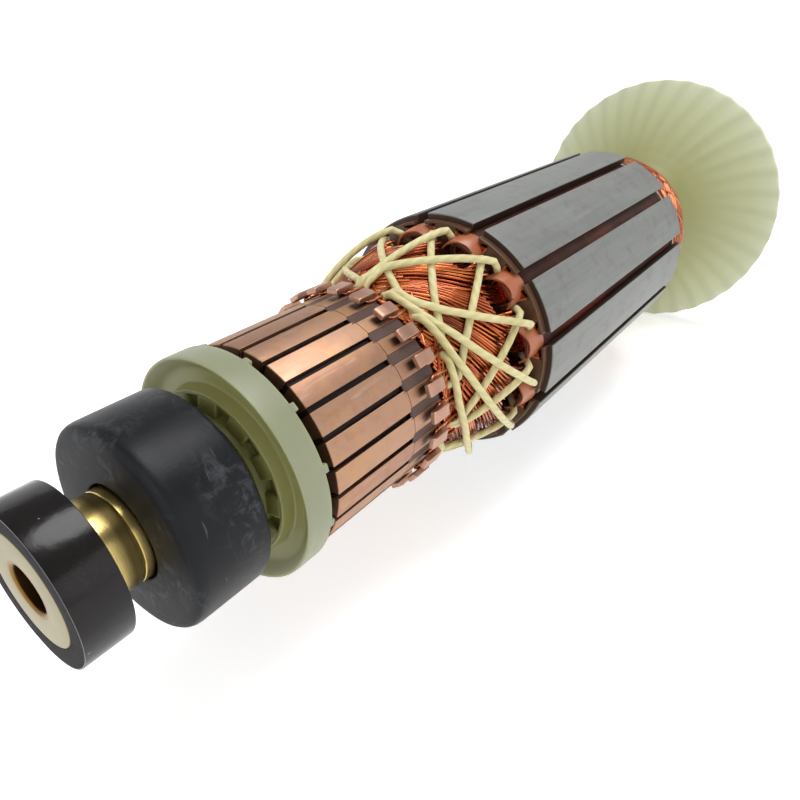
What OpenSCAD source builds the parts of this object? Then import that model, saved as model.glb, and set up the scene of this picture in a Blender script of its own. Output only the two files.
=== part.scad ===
// Motor armature: commutator, laced windings, lamination stack, fan, two ball bearings
// and a speed magnet on one shaft. The shaft axis is X; the origin is the centre of the
// front bearing seat and +X points to the drive end. Millimetres, +Z up.

/* [View] */
// Part shown: all, or one sub-part by name

/* [Lamination stack] */
// Outside diameter of the stack
stack_d = 48; // [40:0.5:60]
// Length of the stack
stack_len = 75; // [40:1:90]
// Front bearing centre to the front face of the stack
stack_from_seat = 67; // [62:0.5:72]
// Number of slots in the stack; the commutator has twice as many bars
slot_count = 12; // [10:1:16]
// Width of a slot at the outside diameter
slot_mouth = 2.5; // [1.8:0.1:3.2]
// Thickness of a tooth tip over the slot
tip_t = 1.8; // [1.2:0.1:2.4]
// Width of a tooth between two slots
tooth_w = 4.6; // [4:0.1:5.2]
// Radius of the bottom of the slots
slot_root_r = 13.2; // [12.5:0.1:14]
// Turn of the rotor at rest, first slot from straight down
rotor_turn = 17.5; // [0:0.5:30]

/* [Shaft] */
// Shaft diameter under the stack and the commutator
shaft_d = 16; // [14:0.5:18]
// Diameter of the stub inside the brass hub
stub_d = 8; // [7.4:0.1:9]
// Length of pinion teeth
pinion_len = 22; // [15:1:30]
// Tip diameter of the pinion
pinion_tip_d = 14.4; // [12:0.1:14.8]
// Number of pinion teeth
pinion_teeth = 8; // [6:1:10]

/* [Speed magnet] */
// Outside diameter of the magnet ring
magnet_d = 21.7; // [18:0.1:25]
// Length of the magnet ring
magnet_len = 6.3; // [4:0.1:9]
// Diameter of the brass flange inside the magnet
flange_d = 16; // [14.5:0.1:17.5]
// Diameter of the brass neck
neck_d = 13.2; // [12:0.1:14]
// Length of neck seen between the magnet and the boot
neck_show = 5.6; // [3:0.1:9]
// Diameter of the open bore in the front of the hub
bore_d = 6.6; // [5:0.1:7]
// Depth of the open bore in front of the shaft stub
bore_depth = 5.6; // [3:0.1:6]

/* [Front bearing and boot] */
// Bore, outside diameter and width of the front bearing
front_bore = 10; // [10:1:10]
front_od = 26; // [26:1:26]
front_w = 8; // [8:1:8]
// Wall of the rubber boot over the bearing
boot_wall = 2; // [1.6:0.1:3]
// Length of the rubber boot
boot_len = 11.5; // [10.5:0.1:14]
// Clearance round the neck in the boot
boot_clear = 0.4; // [0.3:0.05:0.8]

/* [Insulating ring] */
// Outside diameter of the insulating ring
ring_d = 35.3; // [34:0.1:37]
// Length of the ring rim
ring_len = 5.4; // [4:0.1:7]
// Gap between the boot and the ring
ring_gap = 2.9; // [1:0.1:3.2]
// Radial thickness of the rim
rim_t = 1.35; // [1:0.05:2]
// Thickness of the web inside the rim
ring_web = 2.2; // [1.6:0.1:3]
// How far the lugs stand out behind the rim
lug_len = 0.8; // [0.4:0.1:1.2]

/* [Commutator] */
// Diameter of the running surface
comm_d = 33.8; // [32:0.1:34.4]
// Length of the bars without the tangs
bar_len = 27; // [24:0.5:30]
// Width of the slot between two bars
bar_gap = 0.7; // [0.5:0.05:1]
// Width of the filled slot behind the running surface
fill_gap = 1.45; // [1:0.05:1.8]
// Length of the running surface
run_len = 17.7; // [14:0.1:20]
// Depth of the undercut below the running surface
undercut = 0.7; // [0.4:0.05:1]
// Width of a tang
tang_w = 1.6; // [1.2:0.05:2]
// Length of a tang along the shaft
tang_len = 4.4; // [3.5:0.1:5.5]
// Radial thickness of a tang
tang_t = 0.85; // [0.6:0.05:0.9]
// Diameter of a lead wire
lead_d = 0.78; // [0.5:0.02:0.8]

/* [Windings] */
// Length of a coil head in front of the stack, end disc included
head_len = 21; // [19:0.5:22]
// Length of the rear coil head
rear_head_len = 23; // [18:0.5:25]
// Thickness of the end discs
disc_t = 1.5; // [1:0.1:2]
// Diameter of the lacing cord
cord_d = 1.2; // [0.8:0.05:1.25]
// Thickness of the slot liner
liner_t = 0.3; // [0.2:0.05:0.4]
// Width of a slot wedge
wedge_w = 4.4; // [3:0.1:4.6]
// How far a wedge stands out of the stack
wedge_out = 4.5; // [2:0.1:5]

/* [Fan] */
// Outside diameter of the fan disc
fan_d = 75; // [60:0.5:80]
// Rear face of the stack to the rim of the fan disc
fan_from_stack = 49; // [47:0.5:52]
// Coil head to the fan hub
fan_gap = 3; // [1:0.5:5]
// Width of the fan behind the rim of its disc
fan_depth = 7; // [5:0.5:10]
// Thickness of the fan disc
fan_t = 1.5; // [1.2:0.1:2.5]
// Number of blades
blade_count = 36; // [24:1:40]
// Thickness of a blade
blade_t = 1; // [0.8:0.1:1.2]
// Slant of the blades against the radius
blade_slant = 22; // [0:1:30]
// How far the blade tips stand out of the disc
blade_tip = 0.3; // [0.1:0.05:0.6]

/* [Drive bearing] */
// Bore, outside diameter and width of the drive bearing
drive_bore = 15; // [15:1:15]
drive_od = 35; // [35:1:35]
drive_w = 11; // [11:1:11]
// Shaft collar between the fan and the drive bearing
collar_len = 4; // [3:0.5:6]
// Bare shaft between the drive bearing and the pinion
pinion_gap = 3; // [1:0.5:6]

/* [Hidden] */
$fn = 72;

bar_count = 2 * slot_count;
slot_a = 360 / slot_count;
bar_a = 360 / bar_count;
stack_r = stack_d / 2;
shaft_r = shaft_d / 2;
neck_r = neck_d / 2;
comm_r = comm_d / 2;
cord_r = cord_d / 2;
z_stack0 = stack_from_seat;
z_stack1 = z_stack0 + stack_len;
z_boot0 = -boot_len / 2;
z_boot1 = boot_len / 2;
z_mag1 = z_boot0 - neck_show;
z_mag0 = z_mag1 - magnet_len;
z_joint = z_boot0 - 1.2;
z_stub = z_mag0 + bore_depth;
z_ring0 = z_boot1 + ring_gap;
z_ring1 = z_ring0 + ring_len;
z_bar0 = z_ring1 + 0.25;
z_bar1 = z_bar0 + bar_len;
z_run0 = z_bar0 + 2;
z_run1 = z_run0 + run_len;
z_neck0 = z_bar1 + 1.2;
z_head0 = z_stack0 - head_len;
z_disc0 = z_stack0 - disc_t;
z_disc1 = z_stack1 + disc_t;
z_rear1 = z_stack1 + rear_head_len;
z_fan = z_stack1 + fan_from_stack;
z_fan_back = z_fan + fan_depth;
z_collar = z_fan_back;
z_drive = z_collar + collar_len + drive_w / 2;
z_pin0 = z_drive + drive_w / 2 + pinion_gap;
z_pin1 = z_pin0 + pinion_len;
bar_in_r = 11.5;
tang_web = 0.9;
bush_r = 9.5;
wedge_t = 0.5;
wedge_r = stack_r - tip_t - wedge_t;
coil_r = wedge_r - 0.8;
boot_r = front_od / 2 + boot_wall;
boot_lip_r = front_od / 2 - 1.4;
front_shoulder_r = front_bore / 2 + 1.25;
z_step = z_boot1 + 2.25;
lug_turn = rotor_turn - 4.5;

// Ball bearings: pitch diameter, ball radius, number of balls, land radii
front_pitch = (front_bore + front_od) / 2;
front_half = (front_od - front_bore) / 2;
front_ball_r = 0.2976 * front_half;
front_ball_n = 7;
front_land_in = front_pitch / 2 - 0.2125 * front_half;
front_land_out = front_pitch / 2 + 0.2125 * front_half;
drive_pitch = (drive_bore + drive_od) / 2;
drive_half = (drive_od - drive_bore) / 2;
drive_ball_r = 0.2976 * drive_half;
drive_ball_n = 8;
drive_land_in = drive_pitch / 2 - 0.2 * drive_half;
drive_land_out = drive_pitch / 2 + 0.2 * drive_half;
race_clear = 0.04;

// Outline of a coil head: distance from its front end, radius
head_line = [[0, 16.2], [1.2, 16.7], [2.6, 17.2], [4.2, 17.9], [6.5, 18.8], [9, 19.6],
    [12, 20.3], [15, 20.7], [head_len - disc_t, coil_r]];
// Outline of the rear coil head: share of its radius, share of its length from the end
rear_line = [[0.995, 0.52], [0.967, 0.35], [0.905, 0.2], [0.805, 0.08], [0.68, 0.017], [0.55, 0]];
function head_r(z) = lookup(z - z_head0, head_line);
function on_head(z, a, off) = [(head_r(z) + off) * cos(a), (head_r(z) + off) * sin(a), z];
function arc_pts(cx, cy, r, a0, a1, n = 7) =
    [for (i = [0:n]) [cx + r * cos(a0 + (a1 - a0) * i / n), cy + r * sin(a0 + (a1 - a0) * i / n)]];
function trap_w(r) = 2 * r * tan(slot_a / 2) - tooth_w;

// ---------- helpers ----------

module along_x() rotate([0, 90, 0]) children();

module spin(n, turn = 0) for (i = [0:n - 1]) rotate([0, 0, turn + 360 * i / n]) children();

module tube(ro, ri, z0, z1, c = 0.2) rotate_extrude()
    polygon([[ri, z0 + c], [ri + c, z0], [ro - c, z0], [ro, z0 + c],
        [ro, z1 - c], [ro - c, z1], [ri + c, z1], [ri, z1 - c]]);

// A round cord bent through three points
module cord_arc(p, q, s, r) {
    a = p - s;
    b = q - s;
    ab = cross(a, b);
    m = s + cross((a * a) * b - (b * b) * a, ab) / (2 * (ab * ab));
    rad = norm(p - m);
    nn = cross(q - p, s - q);
    n = nn / norm(nn);
    e = (p - m) / rad;
    f = cross(n, e);
    turn = atan2((s - m) * f, (s - m) * e);
    translate(m)
        rotate([atan2(f[2], n[2]), -asin(e[2]), atan2(e[1], e[0])])
            rotate_extrude(angle = turn < 0 ? turn + 360 : turn, $fn = 180)
                translate([rad, 0]) circle(r = r, $fn = 16);
}

module rod(p, q, r) {
    d = q - p;
    translate(p) rotate([0, acos(d[2] / norm(d)), atan2(d[1], d[0])])
        cylinder(r = r, h = norm(d), $fn = 14);
}

// ---------- shaft, pinion, speed magnet ----------

module shaft() color("silver") along_x() rotate_extrude()
    polygon([[0, z_stub], [stub_d / 2 - 0.3, z_stub], [stub_d / 2, z_stub + 0.3],
        [stub_d / 2, z_joint], [front_bore / 2, z_joint], [front_bore / 2, front_w / 2],
        [front_shoulder_r, front_w / 2], [front_shoulder_r, z_step], [shaft_r - 0.4, z_step],
        [shaft_r, z_step + 0.4], [shaft_r, z_collar], [shaft_r + 1.5, z_collar],
        [shaft_r + 1.5, z_collar + collar_len], [drive_bore / 2, z_collar + collar_len],
        [drive_bore / 2, z_pin0 - 0.6], [drive_bore / 2 - 0.6, z_pin0], [0, z_pin0]]);

module pinion() {
    root = pinion_tip_d / 2 - 2.4;
    tip = pinion_tip_d / 2;
    half = 180 / pinion_teeth;
    color("silver") along_x() translate([0, 0, z_pin0])
        linear_extrude(height = pinion_len, twist = -70, slices = 20)
            polygon([for (i = [0:pinion_teeth - 1])
                for (p = [[root, -0.78], [root, -0.62], [root + 1.3, -0.4], [tip, -0.16],
                    [tip, 0.16], [root + 1.3, 0.4], [root, 0.62], [root, 0.78]])
                    [p[0] * cos((2 * i + p[1]) * half), p[0] * sin((2 * i + p[1]) * half)]]);
}

module magnet_hub() color("goldenrod") along_x() rotate_extrude()
    polygon([[bore_d / 2 + 0.4, z_mag0], [flange_d / 2 - 0.2, z_mag0],
        [flange_d / 2, z_mag0 + 0.2], [flange_d / 2, z_mag1], [neck_r, z_mag1],
        [neck_r, z_joint - 0.12], [neck_r - 0.12, z_joint], [stub_d / 2, z_joint],
        [stub_d / 2, z_stub], [bore_d / 2, z_stub], [bore_d / 2, z_mag0 + 0.4]]);

module magnet_ring() color("dimgray") along_x()
    tube(magnet_d / 2, flange_d / 2, z_mag0, z_mag1, 0.3);

module spacer_sleeve() color("goldenrod") along_x()
    tube(neck_r, front_bore / 2, z_joint, -front_w / 2, 0.12);

// ---------- bearings and boot ----------

module race(r_in, r_out, pitch, ball_r, w, c = 0.3) rotate_extrude() difference() {
    polygon([[r_in, -w / 2 + c], [r_in + c, -w / 2], [r_out - c, -w / 2], [r_out, -w / 2 + c],
        [r_out, w / 2 - c], [r_out - c, w / 2], [r_in + c, w / 2], [r_in, w / 2 - c]]);
    translate([pitch / 2, 0]) circle(r = ball_r + race_clear, $fn = 48);
}

module ball_set(pitch, ball_r, n) spin(n) translate([pitch / 2, 0, 0]) sphere(r = ball_r, $fn = 32);

module cage_set(pitch, ball_r, n, t, w) difference() {
    // its ring ends half way between the balls and the seal
    tube(pitch / 2 + t / 2, pitch / 2 - t / 2, -ball_r * 0.5, (ball_r + w / 2 - 0.8) / 2, 0.1);
    spin(n) translate([pitch / 2, 0, 0]) sphere(r = ball_r + 0.05, $fn = 32);
}

module seal_set(r_in, r_out, w) for (s = [-1, 1])
    translate([0, 0, s * (w / 2 - 0.55)])
        rotate_extrude() translate([r_in, -0.25]) square([r_out - r_in, 0.5]);

module front_inner_ring() color("lightgray") along_x()
    race(front_bore / 2, front_land_in, front_pitch, front_ball_r, front_w);
module front_outer_ring() color("lightgray") along_x()
    race(front_land_out, front_od / 2, front_pitch, front_ball_r, front_w);
module front_balls() color("white") along_x() ball_set(front_pitch, front_ball_r, front_ball_n);
module front_cage() color("tan") along_x()
    cage_set(front_pitch, front_ball_r, front_ball_n, 2.2, front_w);
module front_seals() color("saddlebrown") along_x()
    seal_set(front_land_in + 0.3, front_land_out, front_w);

module rubber_boot() color("#404040") along_x() rotate_extrude()
    polygon(concat([[neck_r + boot_clear, z_boot0 + 0.3], [neck_r + boot_clear + 0.3, z_boot0]],
        arc_pts(boot_r - 1.6, z_boot0 + 1.6, 1.6, -90, 0),
        arc_pts(boot_r - 0.6, z_boot1 - 0.6, 0.6, 0, 90),
        [[boot_lip_r, z_boot1], [boot_lip_r, front_w / 2],
        [front_od / 2, front_w / 2], [front_od / 2, -front_w / 2],
        [boot_lip_r, -front_w / 2], [boot_lip_r, -front_w / 2 - 0.35],
        [neck_r + boot_clear, -front_w / 2 - 0.35]]));

module drive_place() along_x() translate([0, 0, z_drive]) children();
module drive_inner_ring() color("lightgray") drive_place()
    race(drive_bore / 2, drive_land_in, drive_pitch, drive_ball_r, drive_w);
module drive_outer_ring() color("lightgray") drive_place()
    race(drive_land_out, drive_od / 2, drive_pitch, drive_ball_r, drive_w, 0.5);
module drive_balls() color("white") drive_place()
    ball_set(drive_pitch, drive_ball_r, drive_ball_n);
module drive_cage() color("tan") drive_place()
    cage_set(drive_pitch, drive_ball_r, drive_ball_n, 2.6, drive_w);
module drive_seals() color("saddlebrown") drive_place()
    seal_set(drive_land_in + 0.3, drive_land_out, drive_w);

// ---------- insulating ring ----------

module insulating_ring() color("#c8d0a8") along_x() {
    ro = ring_d / 2;
    ri = ro - rim_t;
    sleeve_r = 1.54 * shaft_r;
    union() {
        rotate_extrude() polygon(concat(
            [[shaft_r, z_ring0 - 0.15], [sleeve_r - 0.4, z_ring0 - 0.15], [sleeve_r, z_ring0 + 0.3],
            [sleeve_r, z_ring1 - ring_web], [ri - 0.5, z_ring1 - ring_web],
            [ri, z_ring1 - ring_web - 0.5],
            [ri, z_ring0 + 0.6]],
            arc_pts(ri + 0.6, z_ring0 + 0.6, 0.6, 180, 270, 4),
            arc_pts(ro - 0.6, z_ring0 + 0.6, 0.6, 270, 360, 4),
            [[ro, z_ring1], [shaft_r, z_ring1]]));
        spin(slot_count, rotor_turn) translate([sleeve_r - 0.3, -rim_t / 2, z_ring1 - ring_web - 1.6])
            cube([ri - sleeve_r + 0.4, rim_t, ring_web]);
        spin(slot_count, lug_turn) translate([ro - 1.25, -0.62, z_ring1 - 0.5])
            cube([1.15, 1.24, 0.5 + lug_len]);
    }
}

// ---------- commutator ----------

module bar_cuts(w, z0, z1, r0, r1) spin(bar_count, rotor_turn)
    translate([r0, -w / 2, z0]) cube([r1 - r0, w, z1 - z0]);

module commutator_bars() color("#c98b68") along_x() {
    z_t0 = z_bar1 - tang_len;
    difference() {
        rotate_extrude() polygon([[bar_in_r, z_bar0], [comm_r - 1.9, z_bar0],
            [comm_r, z_run0], [comm_r, z_run1 - 0.08], [comm_r - 0.1, z_run1],
            [comm_r - 0.1, z_run1 + 0.12], [comm_r, z_run1 + 0.2], [comm_r, z_bar1],
            [bar_in_r, z_bar1]]);
        bar_cuts(bar_gap, z_bar0 - 1, z_bar1 + 1, bar_in_r - 0.5, comm_r + 1);
        bar_cuts(fill_gap, z_run1 - 0.4, z_bar1 + 1, bar_in_r - 0.5, comm_r + 1);
    }
    // tangs, bent forward over the lead wires
    spin(bar_count, rotor_turn + bar_a / 2) translate([0, tang_w / 2, 0]) rotate([90, 0, 0])
        linear_extrude(height = tang_w) polygon([[comm_r - 0.4, z_bar1 - tang_web], [comm_r - 0.4, z_bar1],
            [comm_r + 1.35, z_bar1], [comm_r + 1.75, z_bar1 - 0.4], [comm_r + 1.75, z_t0 + 0.2],
            [comm_r + 1.6, z_t0], [comm_r + 0.95, z_t0],
            [comm_r + 1.75 - tang_t, z_t0 + 0.2], [comm_r + 1.75 - tang_t, z_bar1 - tang_web]]);
}

module commutator_moulding() color("#5a4844") along_x() {
    rotate_extrude() polygon([[bush_r, z_ring1], [bar_in_r + 2.5, z_ring1],
        [bar_in_r + 2.5, z_bar0], [bar_in_r, z_bar0], [bar_in_r, z_bar1],
        [comm_r - 0.6, z_bar1], [comm_r - 1, z_neck0], [bush_r, z_neck0]]);
    // undercut fill of each slot, then the flush fill behind the running surface
    spin(bar_count, rotor_turn) translate([0, bar_gap / 2, 0]) rotate([90, 0, 0])
        linear_extrude(height = bar_gap) polygon([[bar_in_r - 0.3, z_bar0 - 0.1],
            [comm_r - 1.9 - undercut, z_bar0 - 0.1], [comm_r - 1.9 - undercut, z_bar0],
            [comm_r - undercut, z_run0], [comm_r - undercut, z_run1], [bar_in_r - 0.3, z_run1]]);
    bar_cuts(fill_gap, z_run1 - 0.4, z_bar1 + 0.1, bar_in_r - 0.3, comm_r - 0.1);
}

module commutator_bush() color("silver") along_x() tube(bush_r, shaft_r, z_ring1, z_neck0, 0.3);

// ---------- leads and windings ----------

module lead_wires() color("#a05030") along_x()
    spin(bar_count, rotor_turn + bar_a / 2) {
        // one turn of wire round the web of each tang, both ends back to the coils
        r1 = comm_r + lead_d / 2 + 0.02;
        r2 = head_line[0][1] + lead_d / 2 + 0.05;
        y = tang_w / 2 + lead_d / 2 + 0.06;
        z_loop = z_bar1 - tang_web;
        translate([r1, 0, z_loop]) rotate([0, 90, 0]) rotate([0, 0, -90])
            rotate_extrude(angle = 180, $fn = 48) translate([y, 0]) circle(r = lead_d / 2, $fn = 14);
        for (s = [-1, 1]) {
            rod([r1, s * y, z_loop], [r1, s * y, z_bar1 + 0.35], lead_d / 2);
            rod([r1, s * y, z_bar1 + 0.25], [r2, s * (y - 0.15), z_head0 - 0.1], lead_d / 2);
        }
    }

module lead_neck() color("#4a2a20") along_x() rotate_extrude()
    polygon([[shaft_r, z_neck0], [comm_r - 1.3, z_neck0], [head_line[0][1] - 0.3, z_neck0 + 1],
        [head_line[0][1] - 0.1, z_head0], [shaft_r, z_head0]]);

module front_windings() color("#a04a24") along_x() difference() {
    rotate_extrude() polygon(concat([[shaft_r, z_head0]],
        [for (p = head_line) [p[1], z_head0 + p[0]]], [[shaft_r, z_disc0]]));
    spin(slot_count, rotor_turn) translate([head_line[7][1] + 0.6, 0, z_disc0 - 4.9])
        sphere(r = 2.1, $fn = 32);
}

module slot_area(w = 0) {
    // one slot: trapezoid and mouth
    polygon([[slot_root_r, -trap_w(slot_root_r) / 2], [stack_r - tip_t, -trap_w(stack_r - tip_t) / 2],
        [stack_r - tip_t, trap_w(stack_r - tip_t) / 2], [slot_root_r, trap_w(slot_root_r) / 2]]);
    translate([stack_r - tip_t - 0.01, -slot_mouth / 2]) square([tip_t + 2, slot_mouth]);
}

module slot_windings() {
    a = trap_w(slot_root_r) / 2 - liner_t;
    b = trap_w(wedge_r) / 2 - liner_t;
    color("#a04a24") along_x() spin(slot_count, rotor_turn) translate([0, 0, z_disc0])
        linear_extrude(height = z_disc1 - z_disc0)
            polygon([[slot_root_r + liner_t, -a], [wedge_r, -b], [wedge_r, b], [slot_root_r + liner_t, a]]);
}

module slot_liners() {
    a = trap_w(slot_root_r) / 2;
    b = trap_w(wedge_r) / 2;
    t = liner_t;
    color("#8c4b37") along_x() spin(slot_count, rotor_turn) translate([0, 0, z_disc0])
        linear_extrude(height = z_disc1 - z_disc0)
            polygon([[slot_root_r, -a], [wedge_r, -b], [wedge_r, t - b], [slot_root_r + t, t - a],
                [slot_root_r + t, a - t], [wedge_r, b - t], [wedge_r, b], [slot_root_r, a]]);
}

module slot_wedges() color("#6b3a2c") along_x() spin(slot_count, rotor_turn)
    translate([wedge_r, -wedge_w / 2, z_stack0 - wedge_out])
        cube([wedge_t, wedge_w, stack_len + 2 * wedge_out]);

module laminated(r, z0, z1) translate([0, 0, z0]) linear_extrude(height = z1 - z0) difference() {
    circle(r = r, $fn = 144);
    circle(r = shaft_r);
    spin(slot_count, rotor_turn) slot_area();
}

module lamination_stack() color("#8c8e8c") along_x() laminated(stack_r, z_stack0, z_stack1);
module front_end_disc() color("#5a3a28") along_x() laminated(stack_r - 0.7, z_disc0, z_stack0);
module rear_end_disc() color("#5a3a28") along_x() laminated(stack_r - 0.7, z_stack1, z_disc1);

module rear_windings() color("#a04a24") along_x() rotate_extrude()
    polygon(concat([[shaft_r, z_disc1], [coil_r, z_disc1]],
        [for (p = rear_line) [p[0] * coil_r, z_rear1 - p[1] * rear_head_len]], [[shaft_r, z_rear1]]));

module lacing_cord() color("#cdc896") along_x() {
    z_a = z_head0 + 3.9;
    z_m = z_head0 + 11;
    z_b = z_disc0 - 0.7;
    low = cord_r + 0.1;
    high = 3 * cord_r + 0.2;
    // wraps round the neck
    for (z = [z_head0 + 1.0, z_head0 + 2.6]) translate([0, 0, z]) rotate_extrude()
        translate([head_r(z + 0.6) + cord_r + 0.05, 0]) circle(r = cord_r, $fn = 16);
    // lower and upper run from each slot to the neck
    spin(slot_count, rotor_turn) {
        cord_arc(on_head(z_a, 54, low), on_head(z_m, 29, low + 0.1), on_head(z_b, 8, low), cord_r);
        cord_arc(on_head(z_a, -54, high), on_head(z_m, -29, high + 0.1), on_head(z_b, -8, high), cord_r);
    }
}

// ---------- fan ----------

// Front face of the fan disc: radius, distance ahead of the rim
fan_line = [[12, 17.6], [13.4, 15.4], [15.6, 13], [18.5, 10.6], [22, 8.2], [26, 5.8],
    [30, 3.6], [34, 1.6], [fan_d / 2, 0]];

module fan_region(off, back) polygon(concat(
    [for (p = fan_line) [p[0], z_fan - p[1] + off]], [[fan_d / 2 + blade_tip, z_fan + off],
    [fan_d / 2 + blade_tip, back], [fan_line[0][0], back]]));

module fan() color("#c8cca4") along_x() {
    difference() {
        union() {
            // hub
            rotate_extrude() polygon([[shaft_r, z_rear1 + fan_gap], [fan_line[0][0] - 0.6, z_rear1 + fan_gap],
                [fan_line[0][0], z_rear1 + fan_gap + 0.6], [fan_line[0][0] + 0.6, z_fan - fan_line[3][1]],
                [fan_line[0][0] + 0.6, z_fan_back], [shaft_r, z_fan_back]]);
            // disc
            rotate_extrude() polygon(concat([for (p = fan_line) [p[0], z_fan - p[1]]],
                [for (i = [len(fan_line) - 1:-1:0]) [fan_line[i][0], z_fan - fan_line[i][1] + fan_t]]));
            // blades behind the disc
            intersection() {
                rotate_extrude() fan_region(fan_t / 2, z_fan_back);
                spin(blade_count, rotor_turn) translate([fan_line[0][0] + 0.2, 0, z_fan - fan_line[0][1]])
                    rotate([0, 0, blade_slant]) translate([0, -blade_t / 2, 0])
                        cube([fan_d * 0.4, blade_t, fan_line[0][1] + z_fan_back - z_fan]);
            }
        }
    }
}

shaft();
pinion();
magnet_hub();
magnet_ring();
spacer_sleeve();
rubber_boot();
front_outer_ring();
front_inner_ring();
front_balls();
front_cage();
front_seals();
insulating_ring();
commutator_bars();
commutator_moulding();
commutator_bush();
lead_wires();
lead_neck();
front_windings();
slot_windings();
rear_windings();
lacing_cord();
slot_liners();
slot_wedges();
front_end_disc();
rear_end_disc();
lamination_stack();
fan();
drive_inner_ring();
drive_outer_ring();
drive_balls();
drive_cage();
drive_seals();
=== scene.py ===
import bpy
import math
import random
from mathutils import Matrix, Vector


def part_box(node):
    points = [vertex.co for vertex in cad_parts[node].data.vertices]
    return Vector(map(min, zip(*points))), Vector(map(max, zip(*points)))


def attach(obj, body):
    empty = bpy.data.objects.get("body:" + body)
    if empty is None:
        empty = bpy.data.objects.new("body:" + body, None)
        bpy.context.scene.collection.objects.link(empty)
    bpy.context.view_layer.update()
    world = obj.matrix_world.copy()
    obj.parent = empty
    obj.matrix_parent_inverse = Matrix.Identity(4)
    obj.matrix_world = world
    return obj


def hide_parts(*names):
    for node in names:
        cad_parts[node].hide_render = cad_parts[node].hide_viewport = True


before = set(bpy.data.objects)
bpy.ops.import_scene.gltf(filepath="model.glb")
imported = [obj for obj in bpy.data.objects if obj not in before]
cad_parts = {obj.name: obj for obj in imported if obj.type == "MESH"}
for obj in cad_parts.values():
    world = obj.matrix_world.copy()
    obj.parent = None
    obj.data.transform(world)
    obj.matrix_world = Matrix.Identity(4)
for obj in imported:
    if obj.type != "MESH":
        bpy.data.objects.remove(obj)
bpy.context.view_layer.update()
mm = 0.001

# what several pieces and finishes share: counts round the shaft, degrees from straight down, mm
rotor = {"slots": 12, "bars": 24, "blades": 36, "turn": 17.5, "bore": 8.02, "bladeLean": 0.5}
slotStep, barStep = 360 / rotor["slots"], 360 / rotor["bars"]


# meshes: sizes are in millimetres and the shaft axis is X

def span(nodeName):
    # a node's first and last place along the shaft, and its outer radius
    low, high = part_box(nodeName)
    return low.x / mm, high.x / mm, max(high.y, high.z) / mm


def ringPoint(x, r, degrees):
    # zero degrees is straight down, ninety is +Y
    a = math.radians(degrees)
    return Vector((x, r * math.sin(a), -r * math.cos(a))) * mm


def linked(name, data):
    made = bpy.data.objects.new(name, data)
    bpy.context.collection.objects.link(made)
    return made


def pick(objects):
    for other in bpy.context.selected_objects:
        other.select_set(False)
    for made in objects:
        made.select_set(True)
    bpy.context.view_layer.objects.active = objects[0]


def outwards(made):
    # merges doubles, then turns every face to point out of the solid
    pick([made])
    bpy.ops.object.mode_set(mode="EDIT")
    bpy.ops.mesh.select_all(action="SELECT")
    bpy.ops.mesh.remove_doubles(threshold=1e-7)
    bpy.ops.mesh.normals_make_consistent(inside=False)
    bpy.ops.object.mode_set(mode="OBJECT")
    made.data.set_sharp_from_angle(angle=math.radians(32))
    return made


def skin(name, rows, ring=True, loop=False):
    # quads between rows of points; ring closes each row, loop joins the last row to the first
    n, m = len(rows[0]), len(rows)
    faces = [(a * n + i, a * n + (i + 1) % n, (a + 1) % m * n + (i + 1) % n, (a + 1) % m * n + i)
             for a in range(m if loop else m - 1) for i in range(n if ring else n - 1)]
    if ring and not loop:
        faces += [tuple(range(n)), tuple(range(m * n - n, m * n))]
    mesh = bpy.data.meshes.new(name)
    mesh.from_pydata([tuple(p) for row in rows for p in row], [], faces)
    mesh.shade_smooth()
    made = linked(name, mesh)
    return outwards(made) if ring else made


def rounded(corners, steps=3):
    # (x, r, fillet) corners of a closed outline become an outline with small fillets
    outline = []
    for i, (x, r, fillet) in enumerate(corners):
        here = Vector((x, r))
        before = Vector(corners[i - 1][:2]) - here
        after = Vector(corners[(i + 1) % len(corners)][:2]) - here
        cut = min(fillet, before.length * 0.45, after.length * 0.45)
        p, q = here + before.normalized() * cut, here + after.normalized() * cut
        for t in [k / steps for k in range(steps + 1)] if cut > 0 else [0]:
            outline.append(p * (1 - t) ** 2 + here * 2 * t * (1 - t) + q * t * t)
    return outline


def lathe(name, corners, segments=160, steps=3, wobble=lambda x, r, a: 0):
    outline = rounded(corners, steps)
    angles = [360 * s / segments for s in range(segments)]
    return skin(name, [[ringPoint(x, max(r + wobble(x, r, a), 0.001), a) for x, r in outline]
                       for a in angles], loop=True)


def sector(name, corners, halfAngle, cuts=6):
    # a solid piece of a ring, with its flat sides set by halfAngle(x, r)
    outline = rounded(corners, 2)
    return skin(name, [[ringPoint(x, r, halfAngle(x, r) * (2 * s / cuts - 1)) for x, r in outline]
                       for s in range(cuts + 1)])


def slab(name, outline, width):
    # an (x, r) outline given a width across the straight-down direction
    return skin(name, [[Vector((x, y, -r)) * mm for x, r in outline] for y in (-width / 2, width / 2)])


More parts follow.
